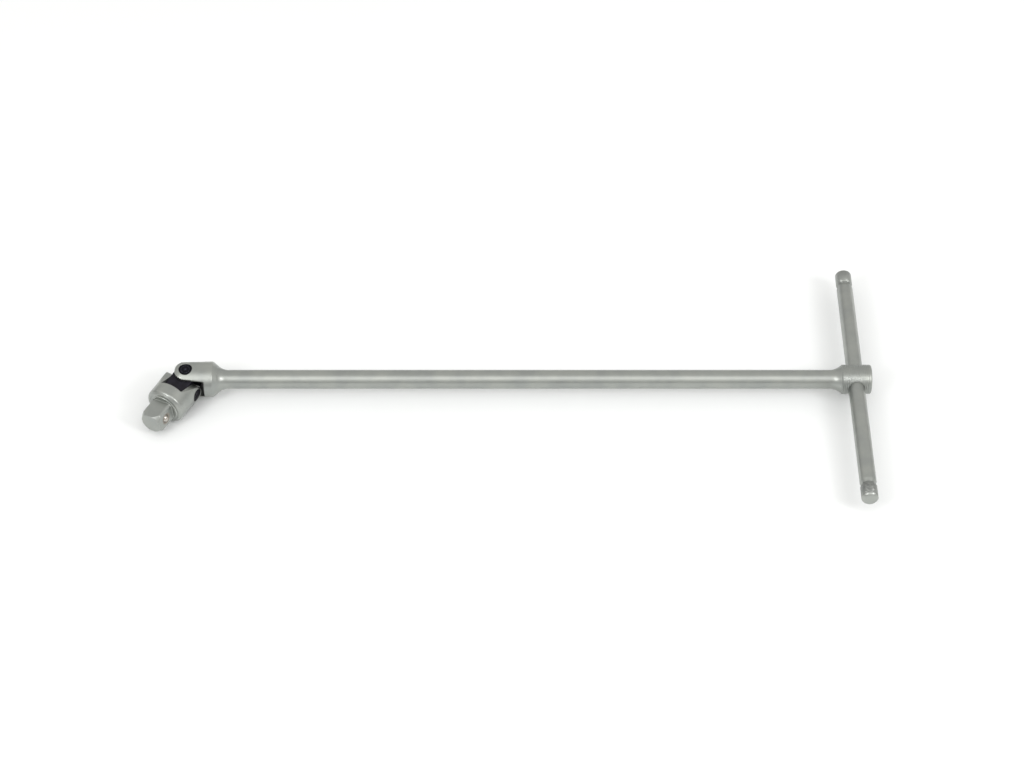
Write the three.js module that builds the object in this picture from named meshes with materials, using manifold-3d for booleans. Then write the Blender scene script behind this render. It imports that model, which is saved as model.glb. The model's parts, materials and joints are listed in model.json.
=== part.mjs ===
// T-handle wrench with a sliding cross bar and a universal-jointed 1/2 inch square drive.
// Millimetres, +Z up. The origin is the centre of the hub's end face, the shaft runs
// along -X from there, and the cross bar lies along Y.

import * as THREE from 'three';
import { mergeVertices } from 'three/addons/utils/BufferGeometryUtils.js';
import Module from 'manifold-3d';

// ---------- driving dimensions ----------

const ROD_RADIUS = 5.75;
const FORK_PIN_X = -416;            // shaft fork's pin, from the hub's end face

const HUB_RADIUS = 8.9;
const HUB_LENGTH = 18.5;
const HUB_EDGE = 1.2;
const HUB_STEP = 0.3;               // small chamfer where the neck starts
const NECK_RADIUS = 8.2;            // root of the neck, a small step below the hub
const NECK_LENGTH = 6.7;
const NECK_STEPS = 5;
const HUB_BORE_EDGE = 0.4;          // countersink of the cross hole

const BAR_RADIUS = 5;
const BAR_LENGTH = 191.2;
const BAR_SHIFT = -3;               // middle of the bar, off the hub's axis
const BAR_CLEARANCE = 0.15;
const BAR_EDGE = 1.1;
const GROOVE_FROM_END = 11.5;
const GROOVE_WIDTH = 4;
const GROOVE_FLOOR = 1.6;           // flat width at the groove's bottom
const GROOVE_DEPTH = 0.8;

// A fork is measured from its pin: the body's radius, half the slot, the slot's floor, the
// ears' round nose, how far their sides flare in degrees, and the rounding of their tips.
const SHAFT_FORK = {
  radius: 10.85, slot: 7.0, floor: 11.2, nose: 6.8, flare: 4, rounding: 2.8,
};
const FORK_BACK = 16.6;             // shoulder of the shaft fork, behind its pin
const FORK_CONE = [[0.6, 10.4], [2.8, 8.05], [4.6, 6.8], [6.4, 6.1], [8.2, 5.75]];
const FORK_ROLL = 7.5;              // degrees, pin axis turned from +Z towards -Y

const DRIVE_FORK = {
  radius: 12.6, slot: 7.0, floor: 9.2, nose: 5.5, flare: 23, rounding: 1.6,
};
const RIM_START = 16.5;             // from the drive pin, start of the end chamfer
const RIM_START_RADIUS = 12.4;
const RIM_END = 18;
const RIM_END_RADIUS = 10.6;
const ROOT_RADIUS = 9.3;            // low turned collar at the foot of the square
const ROOT_LENGTH = 0.6;
const SQUARE = 12.7;                // 1/2 inch
const SQUARE_TURNED_RADIUS = 8.2;   // corners turned round
const SQUARE_END = 32.4;
const SQUARE_TIP_LENGTH = 2.9;
const SQUARE_TIP_RADIUS = 6.5;
const SQUARE_ROLL = -8;             // degrees, about the drive's own axis

const SWING_REST = 61.5;            // degrees, bend about the fork pin at rest
const TILT_REST = 3.5;             // degrees, bend about the drive pin at rest
const PIN_OFFSET = 7.3;             // between the two pin axes, along the block
const PIN_SHANK = 2.3;
const PIN_HEAD = 4;
const PIN_HEAD_THICKNESS = 1.5;
const PIN_RECESS = 0.7;             // below the fork's outer surface
const PIN_EDGE = 0.3;
const PIN_CLEARANCE = 0.1;

const BLOCK_HALF = 6.7;
const BLOCK_END = 7.2;              // past each pin axis
const BLOCK_CORNER = 1.7;

const BALL_RADIUS = 2.5;            // drive square's detent
const BALL_PROUD = 1.1;
const BALL_FROM_END = 7.3;
const BALL_CLEARANCE = 0.06;
const BALL_LIP = 0.25;              // depth of the staked lip around the ball
const BALL_LIP_RADIUS = 2.36;
const BALL_BORE_DEPTH = 9.6;

const BAR_BALL_RADIUS = 2;          // detent ball that rests on the bar
const BAR_BALL_BORE_DEPTH = 12;     // from the cross hole's wall into the neck

const SPRING_GAP = 0.15;            // between a spring and the ball or bore floor it meets
const BAR_SPRING = { outerRadius: 1.85, wireRadius: 0.3, turns: 6 };
const DRIVE_SPRING = { outerRadius: 2.1, wireRadius: 0.35, turns: 4 };
const PLUG_RADIUS = 2.3;
const PLUG_THICKNESS = 2.6;

const ROUND_STEPS = 64;
const SMALL_STEPS = 32;

// ---------- materials ----------

const satinChrome = new THREE.MeshStandardMaterial({ color: 0xb4b6b0, roughness: 0.42, metalness: 1 });
const brightSteel = new THREE.MeshStandardMaterial({ color: 0xc8c2b8, roughness: 0.22, metalness: 1 });
const blackOxide = new THREE.MeshStandardMaterial({ color: 0x17171b, roughness: 0.5, metalness: 0.6 });
const springSteel = new THREE.MeshStandardMaterial({ color: 0x8d8f90, roughness: 0.35, metalness: 1 });

// ---------- making solids ----------

const wasm = await Module();
wasm.setup();

// A closed geometry as a solid, with its faces turned outward.
function solidOf(geometry) {
  const bare = geometry.index ? geometry.toNonIndexed() : geometry.clone();
  bare.deleteAttribute('normal');
  bare.deleteAttribute('uv');
  const merged = mergeVertices(bare, 1e-4);
  const position = merged.attributes.position;
  const corner = (index) => new THREE.Vector3().fromBufferAttribute(position, index);
  const triangles = [];
  let sixVolumes = 0;
  for (let first = 0; first < merged.index.count; first += 3) {
    const [a, b, c] = [0, 1, 2].map((step) => merged.index.getX(first + step));
    if (a === b || b === c || c === a) continue;
    triangles.push([a, b, c]);
    sixVolumes += corner(a).dot(corner(b).cross(corner(c)));
  }
  const facing = sixVolumes > 0 ? triangles : triangles.map(([a, b, c]) => [a, c, b]);
  return new wasm.Manifold(new wasm.Mesh({
    numProp: 3,
    vertProperties: new Float32Array(position.array),
    triVerts: new Uint32Array(facing.flat()),
  }));
}

function meshOf(name, solid, material) {
  const made = solid.getMesh();
  const geometry = new THREE.BufferGeometry();
  geometry.setAttribute('position', new THREE.BufferAttribute(new Float32Array(made.vertProperties), 3));
  geometry.setIndex(new THREE.BufferAttribute(new Uint32Array(made.triVerts), 1));
  geometry.computeVertexNormals();
  const mesh = new THREE.Mesh(geometry, material);
  mesh.name = name;
  return mesh;
}

// A turned solid about X. The profile is a list of [x, radius], from one end to the other.
function turned(profile, steps = ROUND_STEPS) {
  const points = profile.map(([x, radius]) => new THREE.Vector2(radius, x));
  points.unshift(new THREE.Vector2(0, profile[0][0]));
  points.push(new THREE.Vector2(0, profile[profile.length - 1][0]));
  const geometry = new THREE.LatheGeometry(points, steps);
  geometry.rotateZ(-Math.PI / 2);
  return geometry;
}

// The same about Y, for the bar and for what crosses the shaft.
const turnedAlongY = (profile, steps) => turned(profile, steps).rotateZ(Math.PI / 2);
const turnedAlongZ = (profile, steps) => turned(profile, steps).rotateY(-Math.PI / 2);

// A quarter round from [x0, r0] to [x1, r1], bulging outward.
function roundedEdge(x0, r0, x1, r1, count = 5) {
  const points = [];
  for (let step = 0; step <= count; step += 1) {
    const angle = (step / count) * Math.PI / 2;
    const along = r1 > r0 ? 1 - Math.cos(angle) : Math.sin(angle);
    const out = r1 > r0 ? Math.sin(angle) : 1 - Math.cos(angle);
    points.push([x0 + (x1 - x0) * along, r0 + (r1 - r0) * out]);
  }
  return points;
}

function rectangularPrism(x0, x1, halfY, halfZ) {
  const geometry = new THREE.BoxGeometry(x1 - x0, 2 * halfY, 2 * halfZ);
  geometry.translate((x0 + x1) / 2, 0, 0);
  return geometry;
}

// The outline of a fork's ears as seen along the pin: a round nose about the pin, then
// sides that flare towards the fork's root. It is extruded along Z, the pin's direction.
function earOutline(fork, rootX) {
  const flare = THREE.MathUtils.degToRad(fork.flare);
  const shape = new THREE.Shape();
  const start = Math.PI / 2 + flare;
  const tangent = [fork.nose * Math.cos(start), fork.nose * Math.sin(start)];
  const rootHalf = tangent[1] + (rootX - tangent[0]) * Math.tan(flare);
  shape.moveTo(rootX, -rootHalf);
  shape.lineTo(rootX, rootHalf);
  shape.lineTo(tangent[0], tangent[1]);
  shape.absarc(0, 0, fork.nose, start, 2 * Math.PI - start, false);
  const reach = 2 * fork.radius;
  const geometry = new THREE.ExtrudeGeometry(shape, {
    depth: 2 * reach, bevelEnabled: false, curveSegments: ROUND_STEPS / 2,
  });
  geometry.translate(0, 0, -reach);
  return geometry;
}

// Two ears about a pin at the origin, opening towards -X. The pin lies along Z, and
// body is the fork's turned solid, whose open end is at x = -nose.
function forkAbout(body, fork) {
  const beyond = 2 * fork.radius;
  const outline = solidOf(earOutline(fork, beyond));
  const root = solidOf(rectangularPrism(fork.floor, beyond - FORK_PIN_X, beyond, beyond));
  const slot = solidOf(rectangularPrism(-beyond, fork.floor, beyond, fork.slot));
  const hole = PIN_HEAD + PIN_CLEARANCE;
  const seat = pinSeat(fork);
  const bore = turnedAlongZ([[-beyond, hole], [-seat, hole], [-seat, PIN_SHANK + PIN_CLEARANCE],
    [seat, PIN_SHANK + PIN_CLEARANCE], [seat, hole], [beyond, hole]], SMALL_STEPS);
  return body.intersect(outline.add(root)).subtract(slot).subtract(solidOf(bore));
}

// Height above the pin's middle at which a head rests on the ear.
function pinSeat(fork) {
  return fork.radius - PIN_RECESS - PIN_HEAD_THICKNESS - PIN_CLEARANCE;
}

// ---------- shaft: rod, hub and fork forged as one piece ----------

function forkBodyProfile(fork, endX, endRadius) {
  const tip = -fork.nose;
  return [
    ...roundedEdge(tip, fork.radius - fork.rounding, tip + 2 * fork.rounding, fork.radius),
    [endX, endRadius],
  ];
}

function shaft() {
  const forkSide = forkBodyProfile(SHAFT_FORK, FORK_BACK, SHAFT_FORK.radius)
    .concat(FORK_CONE.map(([past, radius]) => [FORK_BACK + past, radius]));
  const neckStart = -HUB_LENGTH - NECK_LENGTH - FORK_PIN_X;
  const neckEnd = -HUB_LENGTH - FORK_PIN_X;
  const neck = [];
  for (let step = 0; step <= NECK_STEPS; step += 1) {
    const share = step / NECK_STEPS;
    neck.push([
      neckStart + (neckEnd - neckStart) * share,
      ROD_RADIUS + (NECK_RADIUS - ROD_RADIUS) * share ** 2,
    ]);
  }
  const hub = [
    [neckEnd, HUB_RADIUS - HUB_STEP], [neckEnd + HUB_STEP, HUB_RADIUS],
    ...roundedEdge(-HUB_EDGE - FORK_PIN_X, HUB_RADIUS, -FORK_PIN_X, HUB_RADIUS - HUB_EDGE, 4),
  ];
  const body = solidOf(turned([...forkSide, ...neck, ...hub]));
  const forked = forkAbout(body, SHAFT_FORK).rotate([FORK_ROLL, 0, 0]);
  return forked.translate([FORK_PIN_X, 0, 0])
    .subtract(solidOf(crossHole()))
    .subtract(solidOf(barDetentBore()));
}

const BAR_X = -HUB_LENGTH / 2;
const BAR_HOLE_RADIUS = BAR_RADIUS + BAR_CLEARANCE;

// The hub's hole for the bar, with a countersunk mouth on both sides.
function crossHole() {
  const mouth = HUB_RADIUS;
  const wide = BAR_HOLE_RADIUS + 2 * HUB_BORE_EDGE;
  const start = mouth - 3 * HUB_BORE_EDGE;
  const geometry = turnedAlongY([[-mouth, wide], [-start, BAR_HOLE_RADIUS],
    [start, BAR_HOLE_RADIUS], [mouth, wide]]);
  return geometry.translate(BAR_X, 0, 0);
}

// One hole drilled from the hub's end face: through the cross hole, then blind into the
// neck, where it holds the bar's detent spring and ball. A plug closes its mouth.
function barDetentBore() {
  const deep = BAR_X - BAR_HOLE_RADIUS - BAR_BALL_BORE_DEPTH;
  const bore = BAR_BALL_RADIUS + BALL_CLEARANCE;
  const plugSeat = -PLUG_THICKNESS - SPRING_GAP;
  const mouth = PLUG_RADIUS + PIN_CLEARANCE;
  return turned([[deep, bore], [plugSeat, bore], [plugSeat, mouth], [1, mouth]], SMALL_STEPS);
}

function hubPlug() {
  return turned([[-PLUG_THICKNESS, PLUG_RADIUS - PIN_EDGE], [-PLUG_THICKNESS + PIN_EDGE, PLUG_RADIUS],
    [0, PLUG_RADIUS]], SMALL_STEPS);
}

// ---------- cross bar and its detent ----------

function crossBar() {
  const half = BAR_LENGTH / 2;
  const flank = (GROOVE_WIDTH - GROOVE_FLOOR) / 2;
  const grooveRadius = BAR_RADIUS - GROOVE_DEPTH;
  const groove = (at) => [[at - GROOVE_WIDTH / 2, BAR_RADIUS], [at - GROOVE_WIDTH / 2 + flank, grooveRadius],
    [at + GROOVE_WIDTH / 2 - flank, grooveRadius], [at + GROOVE_WIDTH / 2, BAR_RADIUS]];
  return turnedAlongY([
    [-half, BAR_RADIUS - BAR_EDGE], [-half + BAR_EDGE, BAR_RADIUS],
    ...groove(-half + GROOVE_FROM_END), ...groove(half - GROOVE_FROM_END),
    [half - BAR_EDGE, BAR_RADIUS], [half, BAR_RADIUS - BAR_EDGE],
  ]);
}

const ball = (radius) => new THREE.SphereGeometry(radius, SMALL_STEPS, SMALL_STEPS / 2);

// A coil spring from x = 0 to x = length. Its ends are cut square to the wire.
function coilSpring(length, { outerRadius, wireRadius, turns }) {
  class Coil extends THREE.Curve {
    getPoint(share, target = new THREE.Vector3()) {
      const angle = share * turns * 2 * Math.PI;
      const radius = outerRadius - wireRadius;
      const along = wireRadius + share * (length - 2 * wireRadius);
      return target.set(along, radius * Math.cos(angle), radius * Math.sin(angle));
    }
  }
  const wireSides = 6;
  const stepsPerTurn = 12;
  const section = new THREE.Shape();
  for (let side = 0; side < wireSides; side += 1) {
    const angle = (side / wireSides) * 2 * Math.PI;
    const corner = [wireRadius * Math.cos(angle), wireRadius * Math.sin(angle)];
    if (side === 0) section.moveTo(...corner);
    else section.lineTo(...corner);
  }
  section.closePath();
  return new THREE.ExtrudeGeometry(section, {
    steps: turns * stepsPerTurn, extrudePath: new Coil(), bevelEnabled: false,
  });
}

// ---------- universal joint ----------

// The block between the forks, pin axes at x = 0 (along Z) and x = -PIN_OFFSET (along Y).
function centreBlock() {
  const ends = [-PIN_OFFSET - BLOCK_END, BLOCK_END];
  const bevelled = (alongY) => {
    const shape = new THREE.Shape();
    shape.moveTo(ends[0] + BLOCK_CORNER, -BLOCK_HALF);
    shape.lineTo(ends[1] - BLOCK_CORNER, -BLOCK_HALF);
    shape.lineTo(ends[1], -BLOCK_HALF + BLOCK_CORNER);
    shape.lineTo(ends[1], BLOCK_HALF - BLOCK_CORNER);
    shape.lineTo(ends[1] - BLOCK_CORNER, BLOCK_HALF);
    shape.lineTo(ends[0] + BLOCK_CORNER, BLOCK_HALF);
    shape.lineTo(ends[0], BLOCK_HALF - BLOCK_CORNER);
    shape.lineTo(ends[0], -BLOCK_HALF + BLOCK_CORNER);
    shape.closePath();
    const geometry = new THREE.ExtrudeGeometry(shape, { depth: 2 * BLOCK_HALF, bevelEnabled: false });
    geometry.translate(0, 0, -BLOCK_HALF);
    return solidOf(alongY ? geometry.rotateX(Math.PI / 2) : geometry);
  };
  const bore = PIN_SHANK + PIN_CLEARANCE;
  const through = [[-2 * BLOCK_HALF, bore], [2 * BLOCK_HALF, bore]];
  return bevelled(false).intersect(bevelled(true))
    .subtract(solidOf(turnedAlongZ(through, SMALL_STEPS)))
    .subtract(solidOf(turnedAlongY(through, SMALL_STEPS).translate(-PIN_OFFSET, 0, 0)));
}

// A rivet through both ears and the block, its two heads sunk below the fork's surface.
function jointPin(fork) {
  const seat = pinSeat(fork) + PIN_CLEARANCE;
  const top = seat + PIN_HEAD_THICKNESS;
  return [[-top, PIN_HEAD - PIN_EDGE], [-top + PIN_EDGE, PIN_HEAD], [-seat, PIN_HEAD], [-seat, PIN_SHANK],
    [seat, PIN_SHANK], [seat, PIN_HEAD], [top - PIN_EDGE, PIN_HEAD], [top, PIN_HEAD - PIN_EDGE]];
}

// The drive head's fork opens towards +X here, and its pin lies along Y at the origin.
function driveHead() {
  const tip = -SQUARE_END;
  const end = [[RIM_END, RIM_END_RADIUS], [RIM_END, ROOT_RADIUS], [RIM_END + ROOT_LENGTH, ROOT_RADIUS]];
  const body = solidOf(turned([...forkBodyProfile(DRIVE_FORK, RIM_START, RIM_START_RADIUS), ...end]));
  const forked = forkAbout(body, DRIVE_FORK).rotate([0, 0, 180]).rotate([90, 0, 0]);
  const turnedSquare = solidOf(turned([[tip, SQUARE_TIP_RADIUS], [tip + SQUARE_TIP_LENGTH, SQUARE_TURNED_RADIUS],
    [-RIM_END + 1, SQUARE_TURNED_RADIUS]]));
  const flats = solidOf(rectangularPrism(tip - 1, -RIM_END + 2, SQUARE / 2, SQUARE / 2));
  const square = turnedSquare.intersect(flats).rotate([SQUARE_ROLL, 0, 0]);
  return forked.add(square).subtract(solidOf(driveBallBore()));
}

// The ball, its spring and its bore lie on the square's -Y face, square to it.
const BALL_X = -SQUARE_END + BALL_FROM_END;

function facingSquareSide(geometry) {
  return geometry.translate(BALL_X, 0, 0).rotateX(THREE.MathUtils.degToRad(SQUARE_ROLL));
}

function driveBallBore() {
  const face = -SQUARE / 2;
  const wide = BALL_RADIUS + BALL_CLEARANCE;
  return facingSquareSide(turnedAlongY([[face - 1, BALL_LIP_RADIUS], [face + BALL_LIP, BALL_LIP_RADIUS],
    [face + BALL_LIP, wide], [face + BALL_BORE_DEPTH, wide]], SMALL_STEPS));
}

// ---------- assembly ----------

const tool = new THREE.Group();
const degrees = THREE.MathUtils.degToRad;

tool.add(meshOf('shaft', shaft(), satinChrome));
tool.add(meshOf('hub_plug', solidOf(hubPlug()), satinChrome));

const barSlide = new THREE.Group();
barSlide.position.set(BAR_X, BAR_SHIFT, 0);
barSlide.add(meshOf('cross_bar', solidOf(crossBar()), satinChrome));
tool.add(barSlide);

const barBallX = BAR_X - BAR_RADIUS - BAR_BALL_RADIUS - SPRING_GAP;
const barBall = meshOf('bar_detent_ball', solidOf(ball(BAR_BALL_RADIUS)), brightSteel);
barBall.position.x = barBallX;
tool.add(barBall);

const barSpringStart = BAR_X - BAR_HOLE_RADIUS - BAR_BALL_BORE_DEPTH + SPRING_GAP;
const barSpringLength = barBallX - BAR_BALL_RADIUS - SPRING_GAP - barSpringStart;
const barSpring = meshOf('bar_detent_spring', solidOf(coilSpring(barSpringLength, BAR_SPRING)), springSteel);
barSpring.position.x = barSpringStart;
tool.add(barSpring);

const forkRoll = new THREE.Group();
forkRoll.rotation.x = degrees(FORK_ROLL);
forkRoll.position.x = FORK_PIN_X;
tool.add(forkRoll);
forkRoll.add(meshOf('fork_pin', solidOf(turnedAlongZ(jointPin(SHAFT_FORK), SMALL_STEPS)), blackOxide));

const swing = new THREE.Group();
swing.rotation.z = degrees(SWING_REST);
forkRoll.add(swing);
swing.add(meshOf('centre_block', centreBlock(), blackOxide));

const tilt = new THREE.Group();
tilt.position.x = -PIN_OFFSET;
tilt.rotation.y = degrees(TILT_REST);
swing.add(tilt);
tilt.add(meshOf('drive_head', driveHead(), satinChrome));
tilt.add(meshOf('drive_pin', solidOf(turnedAlongY(jointPin(DRIVE_FORK), SMALL_STEPS)), blackOxide));

const ballDepth = SQUARE / 2 - BALL_RADIUS + BALL_PROUD;
const driveBall = ball(BALL_RADIUS).translate(0, -ballDepth, 0);
tilt.add(meshOf('drive_ball', solidOf(facingSquareSide(driveBall)), brightSteel));

const driveSpringStart = -ballDepth + BALL_RADIUS + SPRING_GAP;
const driveSpringLength = -SQUARE / 2 + BALL_BORE_DEPTH - SPRING_GAP - driveSpringStart;
const driveSpring = coilSpring(driveSpringLength, DRIVE_SPRING)
  .rotateZ(Math.PI / 2).translate(0, driveSpringStart, 0);
tilt.add(meshOf('drive_ball_spring', solidOf(facingSquareSide(driveSpring)), springSteel));

export default tool;
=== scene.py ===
# T-handle wrench with a sliding cross bar and a universal-jointed square drive.
# Each visible piece is modelled in millimetres about its own axis, then put in metres in the
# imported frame, on its pins and mounts. A piece's material works in the piece's own axes.

import json
import math

import bmesh
import bpy
from mathutils import Matrix, Vector

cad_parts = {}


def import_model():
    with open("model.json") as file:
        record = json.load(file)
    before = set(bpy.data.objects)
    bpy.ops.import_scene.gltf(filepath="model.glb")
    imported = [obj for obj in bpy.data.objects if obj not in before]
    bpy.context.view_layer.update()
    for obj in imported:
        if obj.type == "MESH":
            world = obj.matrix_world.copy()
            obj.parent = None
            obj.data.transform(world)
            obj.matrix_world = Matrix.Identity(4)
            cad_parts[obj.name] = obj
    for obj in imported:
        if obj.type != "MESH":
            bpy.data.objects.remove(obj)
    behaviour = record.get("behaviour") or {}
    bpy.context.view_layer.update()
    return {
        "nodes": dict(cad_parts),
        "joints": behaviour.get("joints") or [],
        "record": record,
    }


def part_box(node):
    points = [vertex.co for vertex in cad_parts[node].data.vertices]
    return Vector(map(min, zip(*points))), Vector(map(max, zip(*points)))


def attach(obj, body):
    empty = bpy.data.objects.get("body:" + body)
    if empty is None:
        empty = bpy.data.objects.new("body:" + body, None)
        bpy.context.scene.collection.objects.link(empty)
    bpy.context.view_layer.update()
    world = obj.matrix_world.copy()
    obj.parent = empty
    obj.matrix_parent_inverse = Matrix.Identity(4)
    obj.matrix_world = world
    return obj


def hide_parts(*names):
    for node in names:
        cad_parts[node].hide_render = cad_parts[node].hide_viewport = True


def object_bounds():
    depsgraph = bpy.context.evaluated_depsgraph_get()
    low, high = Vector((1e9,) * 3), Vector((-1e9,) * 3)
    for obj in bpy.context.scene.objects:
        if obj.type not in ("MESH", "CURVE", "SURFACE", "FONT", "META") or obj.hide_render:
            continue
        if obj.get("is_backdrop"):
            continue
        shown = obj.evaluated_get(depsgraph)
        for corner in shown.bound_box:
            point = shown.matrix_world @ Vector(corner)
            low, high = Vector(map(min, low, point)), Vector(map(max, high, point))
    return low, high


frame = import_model()

MM = 0.001

# ---------- driving dimensions, in millimetres ----------

ROD_RADIUS = 5.75
NECK_FILLET = 9.24                  # concave neck between the rod and the fork
NECK_FILLET_END = 25.5              # from the fork's pin
NECK_CONE_ANGLE = 47.0              # degrees
FORK_BACK = 16.6
FORK_SHOULDER = 0.8

HUB_RADIUS = 8.9
HUB_LENGTH = 18.5
HUB_EDGE = 1.2
HUB_STEP = 0.3
HUB_GROOVE = 0.35                   # turned groove between the hub and its neck
HUB_NECK_RADIUS = 8.2
HUB_NECK_LENGTH = 6.7
PLUG_RADIUS = 2.3
PLUG_THICKNESS = 2.6

BAR_RADIUS = 5.0
BAR_CLEARANCE = 0.03
BAR_EDGE = 1.1
BAR_MOUTH = 0.15                    # countersink of the hub's cross hole
GROOVE_FROM_END = 11.5
GROOVE_WIDTH = 4.0
GROOVE_OUTER_FLANK = 0.7             # steeper towards the bar's end than towards its middle
GROOVE_INNER_FLANK = 1.7
GROOVE_DEPTH = 0.8

# Each fork about its pin: body radius, half slot, slot floor, ear nose, flare of the ears'
# sides in degrees, and rounding of the ears' tips.
SHAFT_FORK = {"radius": 10.84, "slot": 7.0, "floor": 11.2, "nose": 6.8, "flare": 4.0, "rounding": 2.8}
DRIVE_FORK = {"radius": 12.6, "slot": 7.0, "floor": 9.2, "nose": 5.5, "flare": 23.0, "rounding": 1.6}
SLOT_CORNER = 1.4

RIM_START = 16.5                    # the drive head's end chamfer
RIM_START_RADIUS = 12.4
RIM_END = 18.0
RIM_END_RADIUS = 10.6
RIM_ROUNDING = 1.6
ROOT_RADIUS = 9.3                   # low turned collar at the foot of the square
ROOT_LENGTH = 0.6
SQUARE = 12.7
SQUARE_TURNED_RADIUS = 8.2
SQUARE_END = 32.4
SQUARE_TIP_LENGTH = 2.9
SQUARE_TIP_RADIUS = 6.5

PIN_SHANK = 2.3
PIN_HEAD = 4.0
PIN_HEAD_THICKNESS = 1.5
PIN_RECESS = 0.7
PIN_CLEARANCE = 0.1
PIN_EDGE = 0.3
PIN_DIMPLE = 1.5                    # radius of the centre punch in a pin's head
PIN_DIMPLE_DEPTH = 0.45

BLOCK_HALF = 6.7
BLOCK_END = 7.2
BLOCK_CORNER = 1.7

BALL_RADIUS = 2.5
BALL_CLEARANCE = 0.06
BALL_BORE_DEPTH = 9.6
BALL_LIP_RADIUS = 2.42
BALL_LIP = 0.3
BALL_FROM_END = 7.3
STAKE_RADIUS = 3.1                  # ring pressed in round the ball
STAKE_DEPTH = 0.12

VOXEL = 0.16                        # mesh step of the pieces with milled edges
ROUND_STEPS = 128


# ---------- places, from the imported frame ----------

def joint(name):
    return next(j for j in frame["joints"] if j["name"] == name)


def mount(name):
    return next(m for m in frame["record"]["mounts"] if m["name"] == name)


def axes_at(origin, x_axis, y_axis):
    """A placing matrix, in metres, with these two axes and the third square to them."""
    x_axis = Vector(x_axis).normalized()
    y_axis = Vector(y_axis).normalized()
    z_axis = x_axis.cross(y_axis)
    turned = Matrix((x_axis, y_axis, z_axis)).transposed()
    return Matrix.Translation(Vector(origin)) @ turned.to_4x4()


fork_pin_at = Vector(joint("fork_swing")["pos_m"])
fork_pin_axis = Vector(joint("fork_swing")["axis"])
drive_pin_at = Vector(joint("drive_tilt")["pos_m"])
drive_pin_axis = Vector(joint("drive_tilt")["axis"])
ball_inward = Vector(joint("drive_ball_press")["axis"])
shaft_axis = Vector(mount("hub_end")["axis"])
drive_axis = Vector(mount("drive_tip")["axis"])

shaft_place = axes_at(fork_pin_at, shaft_axis, fork_pin_axis.cross(shaft_axis))
block_place = axes_at(fork_pin_at, drive_pin_axis.cross(fork_pin_axis), drive_pin_axis)
drive_place = axes_at(drive_pin_at, -drive_axis, drive_pin_axis)
ball_place = axes_at(drive_pin_at, -drive_axis, ball_inward)

HUB_END = (Vector(mount("hub_end")["pos_m"]) - fork_pin_at).length / MM
PIN_OFFSET = (drive_pin_at - fork_pin_at).length / MM


# ---------- making meshes ----------

def new_object(name, bm):
    bmesh.ops.recalc_face_normals(bm, faces=bm.faces)
    mesh = bpy.data.meshes.new(name)
    bm.to_mesh(mesh)
    bm.free()
    made = bpy.data.objects.new(name, mesh)
    bpy.context.scene.collection.objects.link(made)
    return made


def lathe(name, profile, steps=ROUND_STEPS):
    """A solid turned about X. The profile is a list of (x, radius), closed onto the axis."""
    bm = bmesh.new()
    rings = []
    for x, radius in profile:
        ring = []
        for step in range(steps):
            angle = 2 * math.pi * step / steps
            ring.append(bm.verts.new((x, radius * math.cos(angle), radius * math.sin(angle))))
        rings.append(ring)
    for ring, following in zip(rings, rings[1:]):
        for step in range(steps):
            after = (step + 1) % steps
            bm.faces.new((ring[step], ring[after], following[after], following[step]))
    for ring in (rings[0], rings[-1]):
        centre = bm.verts.new((ring[0].co.x, 0, 0))
        for step in range(steps):
            bm.faces.new((ring[step], ring[(step + 1) % steps], centre))
    return new_object(name, bm)


def prism(name, outline, half):
    """An outline of (x, y) points, extruded along Z from -half to half."""
    bm = bmesh.new()
    bottom = [bm.verts.new((x, y, -half)) for x, y in outline]
    top = [bm.verts.new((x, y, half)) for x, y in outline]
    bm.faces.new(bottom)
    bm.faces.new(top)
    for step in range(len(outline)):
        after = (step + 1) % len(outline)
        bm.faces.new((bottom[step], bottom[after], top[after], top[step]))
    return new_object(name, bm)


def turn(obj, degrees, axis):
    obj.data.transform(Matrix.Rotation(math.radians(degrees), 4, axis))
    return obj


def shift(obj, x=0.0, y=0.0, z=0.0):
    obj.data.transform(Matrix.Translation((x, y, z)))
    return obj


def apply_modifiers(obj):
    depsgraph = bpy.context.evaluated_depsgraph_get()
    evaluated = obj.evaluated_get(depsgraph)
    mesh = bpy.data.meshes.new_from_object(evaluated)
    obj.modifiers.clear()
    obj.data = mesh
    return obj


def combine(obj, other, operation):
    modifier = obj.modifiers.new("combine", "BOOLEAN")
    modifier.object = other
    modifier.operation = operation
    modifier.solver = "EXACT"
    apply_modifiers(obj)
    bpy.data.objects.remove(other)
    return obj


def cut(obj, *cutters):
    for cutter in cutters:
        combine(obj, cutter, "DIFFERENCE")
    return obj


def soften(obj, voxel=VOXEL, rounds=4):
    """Even small faces all over, with every edge slightly rounded as by tumbling."""
    remesh = obj.modifiers.new("even", "REMESH")
    remesh.mode = "VOXEL"
    remesh.voxel_size = voxel
    smooth = obj.modifiers.new("smooth", "SMOOTH")
    smooth.factor = 0.5
    smooth.iterations = rounds
    return apply_modifiers(obj)


def arc(centre, radius, start, end, count=10):
    """Points of an arc, angles in degrees."""
    points = []
    for step in range(count + 1):
        angle = math.radians(start + (end - start) * step / count)
        points.append((centre[0] + radius * math.cos(angle), centre[1] + radius * math.sin(angle)))
    return points


def finish_piece(obj, place, body, slot, material, *nodes, sharp=None):
    """From millimetres to its place in the frame, with its body, material and shading. slot is not used."""
    obj.data.transform(place @ Matrix.Scale(MM, 4))
    obj.data.materials.clear()
    obj.data.materials.append(material)
    for polygon in obj.data.polygons:
        polygon.use_smooth = True
    if sharp is not None:
        obj.data.set_sharp_from_angle(angle=math.radians(sharp))
    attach(obj, body)
    if nodes:
        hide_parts(*nodes)
    return obj


# ---------- forks ----------

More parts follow.
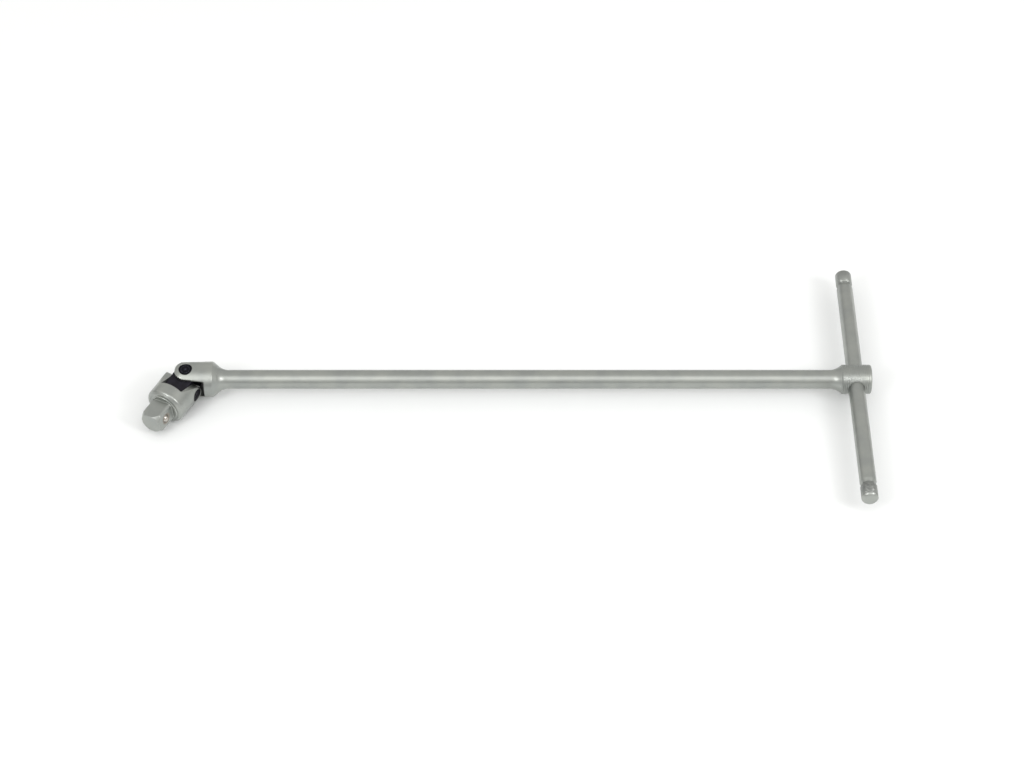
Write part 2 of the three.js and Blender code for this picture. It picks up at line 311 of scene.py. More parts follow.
def ear_tip(fork):
    """The rounded start of a fork's turned body, from the ears' tips."""
    tip = -fork["nose"]
    start = fork["radius"] - fork["rounding"]
    points = []
    for step in range(11):
        angle = math.radians(9 * step)
        points.append((
            tip + 2 * fork["rounding"] * (1 - math.cos(angle)),
            start + fork["rounding"] * math.sin(angle),
        ))
    return points


def ear_outline(fork, far):
    """A fork seen along its pin: round nose, flared sides, then the full body."""
    flare = fork["flare"]
    nose = arc((0, 0), fork["nose"], 90 + flare, 270 - flare, 40)
    leave_x, leave_y = nose[0]
    half = leave_y + (fork["floor"] - leave_x) * math.tan(math.radians(flare))
    wide = 2 * fork["radius"]
    floor = fork["floor"]
    return [*nose, (floor, -half), (floor, -wide), (far, -wide), (far, wide), (floor, wide), (floor, half)]


def slot_outline(fork):
    """The slot seen square to the pin and the axis, with rounded floor corners."""
    far, half, floor = 3 * fork["radius"], fork["slot"], fork["floor"]
    low = arc((floor - SLOT_CORNER, -half + SLOT_CORNER), SLOT_CORNER, -90, 0, 6)
    high = arc((floor - SLOT_CORNER, half - SLOT_CORNER), SLOT_CORNER, 0, 90, 6)
    return [(-far, -half), *low, *high, (-far, half)]


def pin_seat(fork):
    return fork["radius"] - PIN_RECESS - PIN_HEAD_THICKNESS - PIN_CLEARANCE


def pin_bore(fork):
    seat, far = pin_seat(fork), 2 * fork["radius"]
    head, shank = PIN_HEAD + PIN_CLEARANCE, PIN_SHANK + PIN_CLEARANCE
    profile = [(-far, head), (-seat, head), (-seat, shank), (seat, shank), (seat, head), (far, head)]
    return turn(lathe("bore", profile), -90, "Y")


def fork_from(body, fork, far):
    """Cuts a turned body into a fork that opens towards -X, its pin along Z."""
    combine(body, prism("ears", ear_outline(fork, far), 2 * fork["radius"]), "INTERSECT")
    slot = turn(prism("slot", slot_outline(fork), 2 * fork["radius"]), 90, "X")
    return cut(body, slot, pin_bore(fork))


# ---------- shaft: rod, hub and fork in one ----------

def fork_neck():
    """From the fork's shoulder down its cone and concave neck to the rod."""
    points = arc((FORK_BACK - FORK_SHOULDER, SHAFT_FORK["radius"] - FORK_SHOULDER),
                 FORK_SHOULDER, 90, 90 - NECK_CONE_ANGLE, 6)
    centre = (NECK_FILLET_END, ROD_RADIUS + NECK_FILLET)
    return points + arc(centre, NECK_FILLET, 270 - NECK_CONE_ANGLE, 270, 16)


def fork_end(stub):
    body = lathe("fork_end", [*ear_tip(SHAFT_FORK), *fork_neck(), (stub, ROD_RADIUS)])
    return soften(fork_from(body, SHAFT_FORK, 2 * stub))


def hub_end(stub):
    """The hub with its cross hole and plug seat. The bar crosses it along the frame's Y."""
    neck_end = HUB_END - HUB_LENGTH
    neck_start = neck_end - HUB_NECK_LENGTH
    neck = []
    for step in range(13):
        share = step / 12
        neck.append((
            neck_start + HUB_NECK_LENGTH * share,
            ROD_RADIUS + (HUB_NECK_RADIUS - ROD_RADIUS) * share ** 2,
        ))
    edge = arc((HUB_END - HUB_EDGE, HUB_RADIUS - HUB_EDGE), HUB_EDGE, 90, 0, 8)
    groove_floor, groove_end = HUB_NECK_RADIUS - HUB_GROOVE, neck_end + HUB_GROOVE
    groove = [(neck_end, groove_floor), (groove_end, groove_floor)]
    hub = [(groove_end, HUB_RADIUS - HUB_STEP), (groove_end + HUB_STEP, HUB_RADIUS), *edge]
    body = lathe("hub_end", [(stub, ROD_RADIUS), *neck, *groove, *hub])
    hole = BAR_RADIUS + BAR_CLEARANCE
    start = HUB_RADIUS - 1.5 * BAR_MOUTH
    profile = [(-HUB_RADIUS - 1, hole + BAR_MOUTH + 1), (-start, hole), (start, hole),
               (HUB_RADIUS + 1, hole + BAR_MOUTH + 1)]
    across = turn(lathe("across", profile), 90 - shaft_roll(), "X")
    cross_hole = shift(turn_onto_bar(across), HUB_END - HUB_LENGTH / 2)
    seat = PLUG_RADIUS + PIN_CLEARANCE
    plug_hole = lathe("plug_hole", [(HUB_END - PLUG_THICKNESS - PIN_CLEARANCE, seat), (HUB_END + 1, seat)])
    return soften(cut(body, cross_hole, plug_hole))


def shaft_roll():
    """Degrees from the frame's Z to the fork's pin, about the shaft's axis."""
    return math.degrees(math.atan2(-fork_pin_axis.y, fork_pin_axis.z))


def turn_onto_bar(obj):
    """From X to the frame's Y, in the shaft's own turned axes."""
    bar_direction = shaft_place.to_3x3().inverted() @ Vector(joint("bar_slide")["axis"])
    obj.data.transform(Vector((1, 0, 0)).rotation_difference(bar_direction).to_matrix().to_4x4())
    return obj


def open_at(obj, x, keep_low):
    """Cuts obj at x, keeps one side and returns its bmesh."""
    bm = bmesh.new()
    bm.from_mesh(obj.data)
    geometry = bm.verts[:] + bm.edges[:] + bm.faces[:]
    bmesh.ops.bisect_plane(bm, geom=geometry, plane_co=(x, 0, 0), plane_no=(1, 0, 0),
                           clear_outer=keep_low, clear_inner=not keep_low)
    bpy.data.objects.remove(obj)
    return bm


def angle_about_x(vert):
    return math.atan2(vert.co.z, vert.co.y)


def ring_at(bm, x):
    """The open ring at x, sorted by angle about X."""
    border = {v for e in bm.edges if e.is_boundary for v in e.verts if abs(v.co.x - x) < 1e-3}
    return sorted(border, key=angle_about_x)


def stitch(bm, ring_a, ring_b):
    """Joins two rings, sorted by angle, that have different numbers of points."""
    count_a, count_b = len(ring_a), len(ring_b)
    a, b = 0, 0
    while a < count_a or b < count_b:
        next_a = angle_about_x(ring_a[a % count_a]) + 2 * math.pi * (a // count_a)
        next_b = angle_about_x(ring_b[b % count_b]) + 2 * math.pi * (b // count_b)
        here_a, here_b = ring_a[a % count_a], ring_b[b % count_b]
        if b >= count_b or (a < count_a and next_a <= next_b):
            bm.faces.new((here_a, ring_a[(a + 1) % count_a], here_b))
            a += 1
        else:
            bm.faces.new((here_a, ring_b[(b + 1) % count_b], here_b))
            b += 1


def shaft_piece():
    fork_stub, hub_stub = NECK_FILLET_END + 3, HUB_END - HUB_LENGTH - HUB_NECK_LENGTH - 3
    fork_cut, hub_cut = fork_stub - 1.5, hub_stub + 1.5
    low = open_at(fork_end(fork_stub), fork_cut, True)
    high = open_at(hub_end(hub_stub), hub_cut, False)
    part = bpy.data.meshes.new("part")
    high.to_mesh(part)
    high.free()
    low.from_mesh(part)
    bpy.data.meshes.remove(part)
    fork_ring, hub_ring = ring_at(low, fork_cut), ring_at(low, hub_cut)
    rod_rings = []
    for x in (fork_cut + 0.6, hub_cut - 0.6):
        ring = []
        for step in range(ROUND_STEPS):
            angle = 2 * math.pi * (step + 0.5) / ROUND_STEPS - math.pi
            ring.append(low.verts.new((x, ROD_RADIUS * math.cos(angle), ROD_RADIUS * math.sin(angle))))
        rod_rings.append(ring)
    stitch(low, fork_ring, rod_rings[0])
    stitch(low, rod_rings[0], rod_rings[1])
    stitch(low, rod_rings[1], hub_ring)
    return new_object("shaft_body", low)


def plug_piece():
    turned_edge = [(-PLUG_THICKNESS, PLUG_RADIUS - PIN_EDGE), (-PLUG_THICKNESS + PIN_EDGE, PLUG_RADIUS),
                   (-PIN_EDGE / 2, PLUG_RADIUS), (0, PLUG_RADIUS - PIN_EDGE / 2)]
    dimple = [(0, 1.1), (-0.12, 0.9), (-0.16, 0.3)]
    return shift(lathe("end_plug", [*turned_edge, *dimple], 64), HUB_END)


# ---------- cross bar ----------

def bar_end(half):
    """One end of the bar, from its groove out: profile points with small rounded edges."""
    start = half - GROOVE_FROM_END - GROOVE_WIDTH / 2
    end = start + GROOVE_WIDTH
    floor_radius = BAR_RADIUS - GROOVE_DEPTH
    edge = 0.08
    return [
        (start - edge, BAR_RADIUS),
        (start + edge / 2, BAR_RADIUS - edge / 2),
        (start + GROOVE_INNER_FLANK - edge, floor_radius + edge / 2),
        (start + GROOVE_INNER_FLANK + edge, floor_radius),
        (end - GROOVE_OUTER_FLANK - edge, floor_radius),
        (end - GROOVE_OUTER_FLANK + edge, floor_radius + edge / 2),
        (end - edge / 2, BAR_RADIUS - edge / 2),
        (end + edge, BAR_RADIUS),
        (half - BAR_EDGE - edge, BAR_RADIUS),
        (half - BAR_EDGE + edge, BAR_RADIUS - edge),
        (half - edge, BAR_RADIUS - BAR_EDGE + edge),
        (half - edge / 3, BAR_RADIUS - BAR_EDGE - edge / 2),
        (half, BAR_RADIUS - BAR_EDGE - 2 * edge),
    ]


def bar_piece(half):
    near = bar_end(half)
    far = [(-x, radius) for x, radius in reversed(near)]
    return lathe("cross_bar_body", [*far, *near])


# ---------- universal joint ----------

def block_piece():
    low, high, half, corner = -PIN_OFFSET - BLOCK_END, BLOCK_END, BLOCK_HALF, BLOCK_CORNER
    outline = [
        (low + corner, -half), (high - corner, -half), (high, -half + corner), (high, half - corner),
        (high - corner, half), (low + corner, half), (low, half - corner), (low, -half + corner),
    ]
    block = prism("centre_block_body", outline, half)
    combine(block, turn(prism("other", outline, half), 90, "X"), "INTERSECT")
    bore = PIN_SHANK + PIN_CLEARANCE
    reach = [(-2 * half, bore), (2 * half, bore)]
    first = turn(lathe("first", reach, 64), -90, "Y")
    second = shift(turn(lathe("second", reach, 64), 90, "Z"), -PIN_OFFSET)
    return soften(cut(block, first, second))


def pin_piece(name, fork):
    """A rivet with a centre punch in each head and a turned ring round it."""
    seat = pin_seat(fork) + PIN_CLEARANCE
    top = seat + PIN_HEAD_THICKNESS
    ring_in, ring_out, ring_depth = 2.55, 2.95, 0.14
    head = [
        (seat, PIN_SHANK), (seat, PIN_HEAD), (top - PIN_EDGE, PIN_HEAD),
        (top - PIN_EDGE / 3, PIN_HEAD - PIN_EDGE / 3), (top, PIN_HEAD - PIN_EDGE),
        (top, ring_out + 0.1), (top - ring_depth, ring_out),
        (top - ring_depth, ring_in), (top, ring_in - 0.1),
        (top, PIN_DIMPLE + 0.1), (top - 0.1, PIN_DIMPLE),
    ]
    for step in range(1, 6):
        share = step / 6
        depth = 0.1 + (PIN_DIMPLE_DEPTH - 0.1) * math.sin(share * math.pi / 2)
        head.append((top - depth, PIN_DIMPLE * (1 - share)))
    other = [(-x, radius) for x, radius in reversed(head)]
    return lathe(name, [*other, *head], 96)


# ---------- drive head ----------

def drive_body():
    slope = math.degrees(math.atan2(RIM_START_RADIUS - RIM_END_RADIUS, RIM_END - RIM_START))
    tangent = RIM_ROUNDING * math.tan(math.radians(slope / 2))
    centre = (RIM_START - tangent, RIM_START_RADIUS - RIM_ROUNDING)
    rounding = arc(centre, RIM_ROUNDING, 90, 90 - slope)
    collar = arc((RIM_END, ROOT_RADIUS - ROOT_LENGTH), ROOT_LENGTH, 80, 10, 6)
    rim = [*rounding, (RIM_END, RIM_END_RADIUS), *collar]
    body = lathe("drive_head_body", [*ear_tip(DRIVE_FORK), *rim])
    fork_from(body, DRIVE_FORK, 3 * DRIVE_FORK["radius"])
    turn(body, 180, "Z")
    return turn(body, 90, "X")


def square_end():
    shoulder = -SQUARE_END + SQUARE_TIP_LENGTH
    turned = lathe("square", [(-SQUARE_END, SQUARE_TIP_RADIUS), (shoulder, SQUARE_TURNED_RADIUS),
                              (-RIM_END + 1, SQUARE_TURNED_RADIUS)])
    half = SQUARE / 2
    flats = prism("flats", [(-2 * SQUARE_END, -half), (0, -half), (0, half), (-2 * SQUARE_END, half)], half)
    return combine(turned, flats, "INTERSECT")


def ball_seat():
    """The ball's bore with its staked lip, sunk in the square's -Y face."""
    face, wide = -SQUARE / 2, BALL_RADIUS + BALL_CLEARANCE
    seat = lathe("ball_seat", [
        (face - 2, STAKE_RADIUS + 0.4), (face + STAKE_DEPTH, STAKE_RADIUS),
        (face + STAKE_DEPTH, BALL_LIP_RADIUS), (face + BALL_LIP, BALL_LIP_RADIUS),
        (face + BALL_LIP + 0.1, wide), (face + BALL_BORE_DEPTH, wide),
    ])
    return shift(turn(seat, 90, "Z"), -SQUARE_END + BALL_FROM_END)


def drive_piece():
    body = drive_body()
    to_square = (drive_place.inverted() @ ball_place).to_3x3().to_4x4()
    square, seat = square_end(), ball_seat()
    square.data.transform(to_square)
    seat.data.transform(to_square)
    combine(body, square, "UNION")
    return soften(cut(body, seat))


def ball_piece():
    """A ball of even quads, made by rounding a cube."""
    bm = bmesh.new()
    bmesh.ops.create_cube(bm, size=2)
    bmesh.ops.subdivide_edges(bm, edges=bm.edges[:], cuts=15, use_grid_fill=True)
    for vert in bm.verts:
        vert.co = vert.co.normalized() * BALL_RADIUS
    return new_object("detent_ball", bm)


# ---------- materials ----------

def map_range(tree, source, given, wanted):
    """Maps a socket's value from one (low, high) range to another, clamped."""
    node = tree.nodes.new("ShaderNodeMapRange")
    node.clamp = True
    node.inputs["From Min"].default_value, node.inputs["From Max"].default_value = given
    node.inputs["To Min"].default_value, node.inputs["To Max"].default_value = wanted
    tree.links.new(source, node.inputs["Value"])
    return node.outputs[0]


class Nodes:
    """Short calls for building one material's node tree."""

    def __init__(self, name, place):
        self.material = bpy.data.materials.new(name)
        self.material.use_nodes = True
        self.tree = self.material.node_tree
        self.shader = self.tree.nodes["Principled BSDF"]
        self.own = self.own_axes(place)

    def own_axes(self, place):
        """Coordinates in the piece's own axes, in metres, from the frame's."""
        node = self.tree.nodes.new("ShaderNodeMapping")
        node.vector_type = "TEXTURE"
        node.inputs["Location"].default_value = place.to_translation()
        node.inputs["Rotation"].default_value = place.to_euler("XYZ")
        coordinates = self.tree.nodes.new("ShaderNodeTexCoord")
        self.link(coordinates.outputs["Object"], node.inputs["Vector"])
        return node.outputs[0]

    def link(self, source, socket):
        self.tree.links.new(source, socket)

    def put(self, value, socket):
        if isinstance(value, bpy.types.NodeSocket):
            self.link(value, socket)
        else:
            socket.default_value = value

    def math(self, operation, first, second=0.0, third=0.0):
        node = self.tree.nodes.new("ShaderNodeMath")
        node.operation = operation
        for value, socket in zip((first, second, third), node.inputs):
            self.put(value, socket)
        return node.outputs[0]

    def noise(self, scale, detail=3.0, stretch=(1, 1, 1)):
        mapping = self.tree.nodes.new("ShaderNodeMapping")
        mapping.inputs["Scale"].default_value = stretch
        self.link(self.own, mapping.inputs["Vector"])
        node = self.tree.nodes.new("ShaderNodeTexNoise")
        node.inputs["Scale"].default_value = scale
        node.inputs["Detail"].default_value = detail
        self.link(mapping.outputs[0], node.inputs["Vector"])
        return node.outputs["Fac"]

    def remap(self, value, low, high, to_low, to_high):
        return map_range(self.tree, value, (low, high), (to_low, to_high))

    def mix(self, share, first, second):
        node = self.tree.nodes.new("ShaderNodeMix")
        node.data_type = "RGBA"
        self.put(share, node.inputs[0])
        self.put(first, node.inputs[6])
        self.put(second, node.inputs[7])
        return node.outputs[2]

    def bump(self, height, strength, distance, normal=None):
        node = self.tree.nodes.new("ShaderNodeBump")
        node.inputs["Strength"].default_value = strength
        node.inputs["Distance"].default_value = distance
        self.link(height, node.inputs["Height"])
        if normal is not None:
            self.link(normal, node.inputs["Normal"])
        return node.outputs[0]

    def edges(self, low, high):
        """From 0 on flat faces to 1 on the sharpest edges."""
        node = self.tree.nodes.new("ShaderNodeNewGeometry")
        return self.remap(node.outputs["Pointiness"], low, high, 0, 1)

    def axes(self):
        node = self.tree.nodes.new("ShaderNodeSeparateXYZ")
        self.link(self.own, node.inputs[0])
        return node.outputs

    def turning_radius(self):
        """Distance from the piece's X axis."""
        axes = self.axes()
        squares = self.math("MULTIPLY_ADD", axes[1], axes[1], self.math("MULTIPLY", axes[2], axes[2]))
        return self.math("SQRT", squares)

    def distance(self, point):
        node = self.tree.nodes.new("ShaderNodeVectorMath")
        node.operation = "DISTANCE"
        self.link(self.own, node.inputs[0])
        node.inputs[1].default_value = point
        return node.outputs["Value"]


CHROME = (0.398, 0.412, 0.386, 1)
CHROME_SHADE = (0.345, 0.360, 0.345, 1)
CHROME_EDGE = (0.55, 0.55, 0.54, 1)
# tone of the finely turned rings, and painted shade at the bar's near end
TURNED_TONE_AND_PAINTED_SHADE = (0.19, 0.195, 0.19, 1)
# painted shade inside the forks' slots
SLOT_PAINTED_SHADE = (0.014, 0.014, 0.018, 1)
STAKE_TINT = (0.27, 0.22, 0.175, 1)
OXIDE = (0.009, 0.008, 0.012, 1)
OXIDE_LIGHT = (0.018, 0.017, 0.026, 1)
OXIDE_EDGE = (0.09, 0.09, 0.11, 1)
FINE_TURNED_PITCH = 1.1             # rings left by the last cut on the hub and the bar's ends
RING_HEIGHT = 0.0001                # in metres


def inside_slot(nodes, width_axis, half_slot, side, floor):
    """1 inside a fork's slot and 0 outside, from the piece's own axes: where the slot's painted shade goes.
    """
    axes = nodes.axes()
    soft = 0.12 * MM
    width = nodes.math("ABSOLUTE", axes[width_axis])
    near = nodes.remap(width, half_slot - soft, half_slot + 3 * soft, 1, 0)
    along = nodes.math("MULTIPLY", axes[0], side)
    return nodes.math("MULTIPLY", near, nodes.remap(along, floor, floor + 4 * soft, 1, 0))


def fine_turned(nodes, start, end):
    """The height of the rings cut between these distances along the axis, and where they are."""
    along = nodes.math("ABSOLUTE", nodes.axes()[0])
    soft = 0.2 * MM
    there = nodes.math("MULTIPLY", nodes.remap(along, start, start + soft, 0, 1),
                       nodes.remap(along, end - soft, end, 1, 0))
    wave = nodes.math("SINE", nodes.math("MULTIPLY", along, 2 * math.pi / (FINE_TURNED_PITCH * MM)))
    return nodes.math("MULTIPLY", wave, there), there


def satin_chrome(name, place, slot=None, stake=None, turned=None):
    """Chrome plate over turned and blasted steel. The piece turns about its own X.

    slot is the inside of a fork, painted near black as painted shade, stake a point with a pressed ring
    round it, and turned the start and end of finely turned rings and how much darker they are painted at -X
    and at +X: the turned finish's own tone, with painted shade added at the bar's near end.
    """
    nodes = Nodes(name, place)
    blast = nodes.noise(5200, 2)
    lathe_marks = nodes.noise(1, 2, (4200, 35, 35))
    cloud = nodes.noise(90, 5)
    fine_cloud = nodes.noise(420, 3)
    edge = nodes.edges(0.52, 0.60)
    colour = nodes.mix(nodes.remap(cloud, 0.35, 0.65, 0, 1), CHROME, CHROME_SHADE)
    colour = nodes.mix(nodes.math("MULTIPLY", edge, 0.5), colour, CHROME_EDGE)
    marks_rough = nodes.remap(lathe_marks, 0.3, 0.7, -0.03, 0.03)
    rough = nodes.math("ADD", nodes.remap(fine_cloud, 0.3, 0.7, 0.34, 0.42), marks_rough)
    rough = nodes.math("SUBTRACT", rough, nodes.math("MULTIPLY", edge, 0.06))
    metal = 1.0
    normal = nodes.bump(lathe_marks, 0.25, 0.00003)
    if turned is not None:
        start, end, darker_low, darker_high = turned
        rings, there = fine_turned(nodes, start, end)
        normal = nodes.bump(rings, 1.0, RING_HEIGHT, normal)
        # the smaller of darker_low and darker_high is the turned finish's own tone; the extra at the other
        # end, as at the bar's near end, is painted shade
        darker = nodes.remap(nodes.axes()[0], -start, start, darker_low, darker_high)
        patchy = nodes.remap(nodes.noise(700, 3), 0.35, 0.65, 0.5, 1.3)
        banded = nodes.math("MULTIPLY_ADD", rings, 0.06, nodes.math("MULTIPLY", there, darker))
        colour = nodes.mix(nodes.math("MULTIPLY", banded, patchy), colour, TURNED_TONE_AND_PAINTED_SHADE)
    if stake is not None:
        ring = nodes.remap(nodes.distance(stake), STAKE_RADIUS * MM, (STAKE_RADIUS + 0.9) * MM, 1, 0)
        colour = nodes.mix(nodes.math("MULTIPLY", ring, 0.7), colour, STAKE_TINT)
    if slot is not None:
        # painted shade: the inside of the slot is painted near black, rougher and less metallic
        dark = inside_slot(nodes, *slot)
        colour = nodes.mix(dark, colour, SLOT_PAINTED_SHADE)
        rough = nodes.math("ADD", rough, nodes.math("MULTIPLY", dark, 0.15))
        metal = nodes.math("SUBTRACT", 1, nodes.math("MULTIPLY", dark, 0.8))
    nodes.put(colour, nodes.shader.inputs["Base Color"])
    nodes.put(rough, nodes.shader.inputs["Roughness"])
    nodes.put(metal, nodes.shader.inputs["Metallic"])
    nodes.put(nodes.bump(blast, 0.22, 0.00002, normal), nodes.shader.inputs["Normal"])
    return nodes.material


def black_oxide(name, place):
    """Black phosphate with a thin film of oil, rubbed lighter on its edges."""
    nodes = Nodes(name, place)
    grain = nodes.noise(3800, 3)
    cloud = nodes.noise(260, 4)
    edge = nodes.edges(0.52, 0.6)
    colour = nodes.mix(nodes.remap(cloud, 0.3, 0.7, 0, 1), OXIDE, OXIDE_LIGHT)
    colour = nodes.mix(nodes.math("MULTIPLY", edge, 0.5), colour, OXIDE_EDGE)
    nodes.put(colour, nodes.shader.inputs["Base Color"])
    nodes.put(nodes.remap(cloud, 0.3, 0.7, 0.38, 0.52), nodes.shader.inputs["Roughness"])
    nodes.shader.inputs["Metallic"].default_value = 0.35
    nodes.shader.inputs["Specular IOR Level"].default_value = 0.25
    nodes.put(nodes.bump(grain, 0.35, 0.00003), nodes.shader.inputs["Normal"])
    return nodes.material


def rivet_black(name, place):
    """Darker than the block, with a rubbed ring and centre where the rivet was spun over."""
    nodes = Nodes(name, place)
    radius = nodes.turning_radius()
    patches = nodes.noise(900, 3)
    inner = nodes.remap(radius, 0.3 * MM, 1.3 * MM, 1, 0)
    outer = nodes.math("MULTIPLY", nodes.remap(radius, 2.2 * MM, 2.5 * MM, 0, 1),
                       nodes.remap(radius, 2.7 * MM, 3.1 * MM, 1, 0))
    rubbed = nodes.math("MAXIMUM", inner, outer)
    rubbed = nodes.math("MULTIPLY", rubbed, nodes.remap(patches, 0.4, 0.65, 0, 1))
    colour = nodes.mix(rubbed, (0.0035, 0.0035, 0.006, 1), (0.050, 0.048, 0.068, 1))
    nodes.put(colour, nodes.shader.inputs["Base Color"])
    nodes.put(nodes.remap(patches, 0.3, 0.7, 0.42, 0.58), nodes.shader.inputs["Roughness"])
    nodes.shader.inputs["Metallic"].default_value = 0.2
    nodes.shader.inputs["Specular IOR Level"].default_value = 0.12
    nodes.put(nodes.bump(patches, 0.5, 0.00006), nodes.shader.inputs["Normal"])
    return nodes.material


def ball_steel(name, place):
    """Polished hard steel, faintly straw brown from heat, with fine rubbing marks."""
    nodes = Nodes(name, place)
    marks = nodes.noise(1, 2, (900, 900, 9000))
    cloud = nodes.noise(500, 3)
    colour = nodes.mix(nodes.remap(cloud, 0.35, 0.65, 0, 1), (0.60, 0.58, 0.55, 1), (0.47, 0.43, 0.38, 1))
    nodes.put(colour, nodes.shader.inputs["Base Color"])
    nodes.put(nodes.remap(marks, 0.3, 0.7, 0.12, 0.22), nodes.shader.inputs["Roughness"])
    nodes.shader.inputs["Metallic"].default_value = 1.0
    nodes.put(nodes.bump(marks, 0.1, 0.00001), nodes.shader.inputs["Normal"])
    return nodes.material


def spring_steel(name, place):
    """Drawn wire: a fine grain and a dull grey blue."""
    nodes = Nodes(name, place)
    lines = nodes.noise(2600, 2)
    colour = nodes.mix(nodes.remap(lines, 0.3, 0.7, 0, 1), (0.30, 0.31, 0.33, 1), (0.40, 0.40, 0.41, 1))
    nodes.put(colour, nodes.shader.inputs["Base Color"])
    nodes.put(nodes.remap(lines, 0.3, 0.7, 0.28, 0.42), nodes.shader.inputs["Roughness"])
    nodes.shader.inputs["Metallic"].default_value = 1.0
    nodes.put(nodes.bump(lines, 0.2, 0.00001), nodes.shader.inputs["Normal"])
    return nodes.material


# ---------- assembly ----------

bar_low, bar_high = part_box("cross_bar")
bar_half = (bar_high.y - bar_low.y) / 2 / MM
bar_place = axes_at((bar_low + bar_high) / 2, joint("bar_slide")["axis"], (0, 0, 1))
fork_pin_place = axes_at(fork_pin_at, fork_pin_axis, shaft_axis)
drive_pin_place = axes_at(drive_pin_at, drive_pin_axis, drive_axis)
ball_low, ball_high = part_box("drive_ball")
ball_centre = Matrix.Translation((ball_low + ball_high) / 2)
ball_mouth = Vector((-SQUARE_END + BALL_FROM_END, -SQUARE / 2, 0)) * MM
stake_point = drive_place.inverted() @ (ball_place @ ball_mouth)

# where each fork's slot gets its painted shade: axis across the slot, half slot, side it opens to, slot
# floor
shaft_slot = (2, SHAFT_FORK["slot"] * MM, 1, SHAFT_FORK["floor"] * MM)
hub_rings = ((HUB_END - HUB_LENGTH) * MM, (HUB_END - HUB_EDGE) * MM, 0.1, 0.1)
shaft_chrome = satin_chrome("shaft_chrome", shaft_place, shaft_slot, turned=hub_rings)
finish_piece(shaft_piece(), shaft_place, "shaft", "satin_chrome", shaft_chrome, "shaft")
plug_chrome = satin_chrome("plug_chrome", shaft_place)
finish_piece(plug_piece(), shaft_place, "shaft", "satin_chrome", plug_chrome, "hub_plug", sharp=40)

# the near (-X) end is painted 0.55 darker: 0.1 the turned finish's own tone, as on the hub and the far end,
# the rest painted shade
bar_rings = ((bar_half - GROOVE_FROM_END) * MM, (bar_half - BAR_EDGE) * MM, 0.55, 0.1)
bar_chrome = satin_chrome("bar_chrome", bar_place, turned=bar_rings)
finish_piece(bar_piece(bar_half), bar_place, "bar", "satin_chrome", bar_chrome, "cross_bar", sharp=40)

block_black = black_oxide("block_black", block_place)
finish_piece(block_piece(), block_place, "block", "black_oxide", block_black, "centre_block")
for rivet, fork, place, body, node in (
    ("fork_rivet", SHAFT_FORK, fork_pin_place, "shaft", "fork_pin"),
    ("drive_rivet", DRIVE_FORK, drive_pin_place, "drive", "drive_pin"),
):
    rivet_coat = rivet_black(rivet + "_black", place)
    finish_piece(pin_piece(rivet, fork), place, body, "black_oxide", rivet_coat, node, sharp=35)

# the drive head's slot gets the same painted shade
drive_slot = (1, DRIVE_FORK["slot"] * MM, -1, DRIVE_FORK["floor"] * MM)
drive_chrome = satin_chrome("drive_chrome", drive_place, drive_slot, stake_point)
finish_piece(drive_piece(), drive_place, "drive", "satin_chrome", drive_chrome, "drive_head")
ball_metal = ball_steel("polished_ball", ball_centre)
finish_piece(ball_piece(), ball_centre, "ball", "ball_steel", ball_metal, "drive_ball")

wire = spring_steel("spring_wire", Matrix())
for node, metal in (
    ("bar_detent_ball", ball_metal),
    ("bar_detent_spring", wire),
    ("drive_ball_spring", wire),
):
    frame["nodes"][node].data.materials.clear()
    frame["nodes"][node].data.materials.append(metal)


# ---------- floor, light and camera ----------

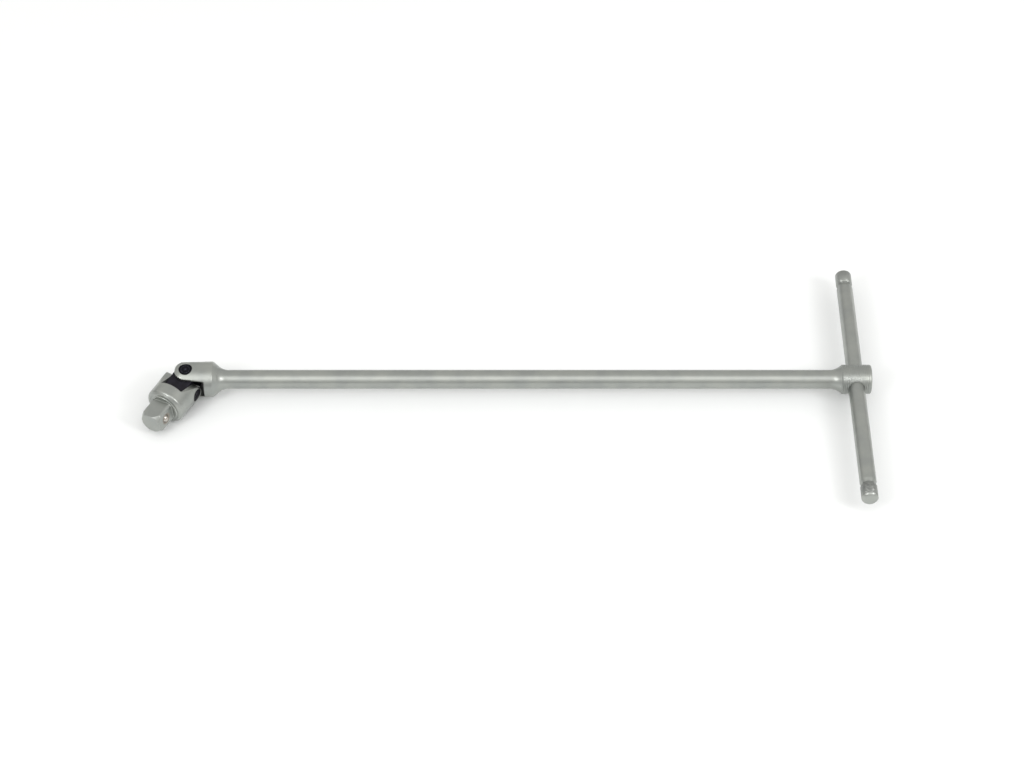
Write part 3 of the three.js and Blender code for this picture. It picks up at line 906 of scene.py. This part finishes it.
def floor(height):
    bm = bmesh.new()
    bmesh.ops.create_grid(bm, x_segments=8, y_segments=8, size=6)
    made = new_object("floor", bm)
    made.location.z = height
    nodes = Nodes("pale_floor", Matrix())
    cloud = nodes.noise(3, 2)
    nodes.put(nodes.mix(nodes.remap(cloud, 0.3, 0.7, 0, 1), (0.90, 0.91, 0.915, 1), (0.92, 0.93, 0.935, 1)),
              nodes.shader.inputs["Base Color"])
    nodes.shader.inputs["Roughness"].default_value = 0.9
    nodes.shader.inputs["Specular IOR Level"].default_value = 0.1
    made.data.materials.append(nodes.material)
    made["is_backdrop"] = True


def world(sky, horizon):
    """Even light all round, with a darker horizon in front and on the left."""
    made = bpy.data.worlds.new("studio")
    made.use_nodes = True
    tree = made.node_tree
    direction = tree.nodes.new("ShaderNodeTexCoord").outputs["Generated"]
    axes = tree.nodes.new("ShaderNodeSeparateXYZ")
    tree.links.new(direction, axes.inputs[0])
    side = tree.nodes.new("ShaderNodeVectorMath")
    side.operation = "DOT_PRODUCT"
    side.inputs[1].default_value = (0.8, 0.3, 0)
    tree.links.new(direction, side.inputs[0])
    dark_side = map_range(tree, side.outputs["Value"], (-0.3, 0.7), (horizon, (sky + horizon) / 2))
    height = map_range(tree, axes.outputs["Z"], (0.05, 0.38), (0, 1))
    strength = tree.nodes.new("ShaderNodeMix")
    tree.links.new(height, strength.inputs[0])
    tree.links.new(dark_side, strength.inputs[2])
    strength.inputs[3].default_value = sky
    background = tree.nodes["Background"]
    background.inputs["Color"].default_value = (1.0, 0.995, 0.97, 1)
    tree.links.new(strength.outputs[0], background.inputs["Strength"])
    bpy.context.scene.world = made


def softbox(name, target, azimuth, elevation, size, radiance):
    """A soft light facing the target. Azimuth is from the camera's side, towards +X."""
    light = bpy.data.lights.new(name, "AREA")
    light.shape = "RECTANGLE"
    light.size, light.size_y = size
    light.energy = radiance * math.pi * size[0] * size[1]
    made = bpy.data.objects.new(name, light)
    round_z, up = math.radians(azimuth), math.radians(elevation)
    back = Vector((math.cos(up) * math.sin(round_z), -math.cos(up) * math.cos(round_z), math.sin(up)))
    made.location = target + back * LIGHT_DISTANCE
    made.rotation_mode = "QUATERNION"
    made.rotation_quaternion = (-back).to_track_quat("-Z", "Y")
    bpy.context.scene.collection.objects.link(made)


LIGHT_DISTANCE = 2.2
CAMERA_AT = (-0.2182, -1.18167, 1.19840)
CAMERA_ELEVATION = 45.5
CAMERA_LENS = 97.28


def camera():
    data = bpy.data.cameras.new("camera")
    data.sensor_width = 36
    data.lens = CAMERA_LENS
    data.clip_start, data.clip_end = 0.01, 50
    made = bpy.data.objects.new("camera", data)
    made.location = CAMERA_AT
    made.rotation_euler = (math.radians(90 - CAMERA_ELEVATION), 0, 0)
    bpy.context.scene.collection.objects.link(made)
    bpy.context.scene.camera = made


low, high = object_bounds()
middle = (low + high) / 2
floor(low.z)
world(0.82, 0.35)
centre = Vector((middle.x, 0, 0))
softbox("overhead_softbox", centre, 0, 60, (3.2, 1.5), 0.9)
softbox("right_softbox", centre, 55, 37, (0.6, 0.6), 9.5)
softbox("left_softbox", centre, -42, 38, (0.6, 0.6), 7.0)
camera()
bpy.context.scene.view_settings.view_transform = "Standard"
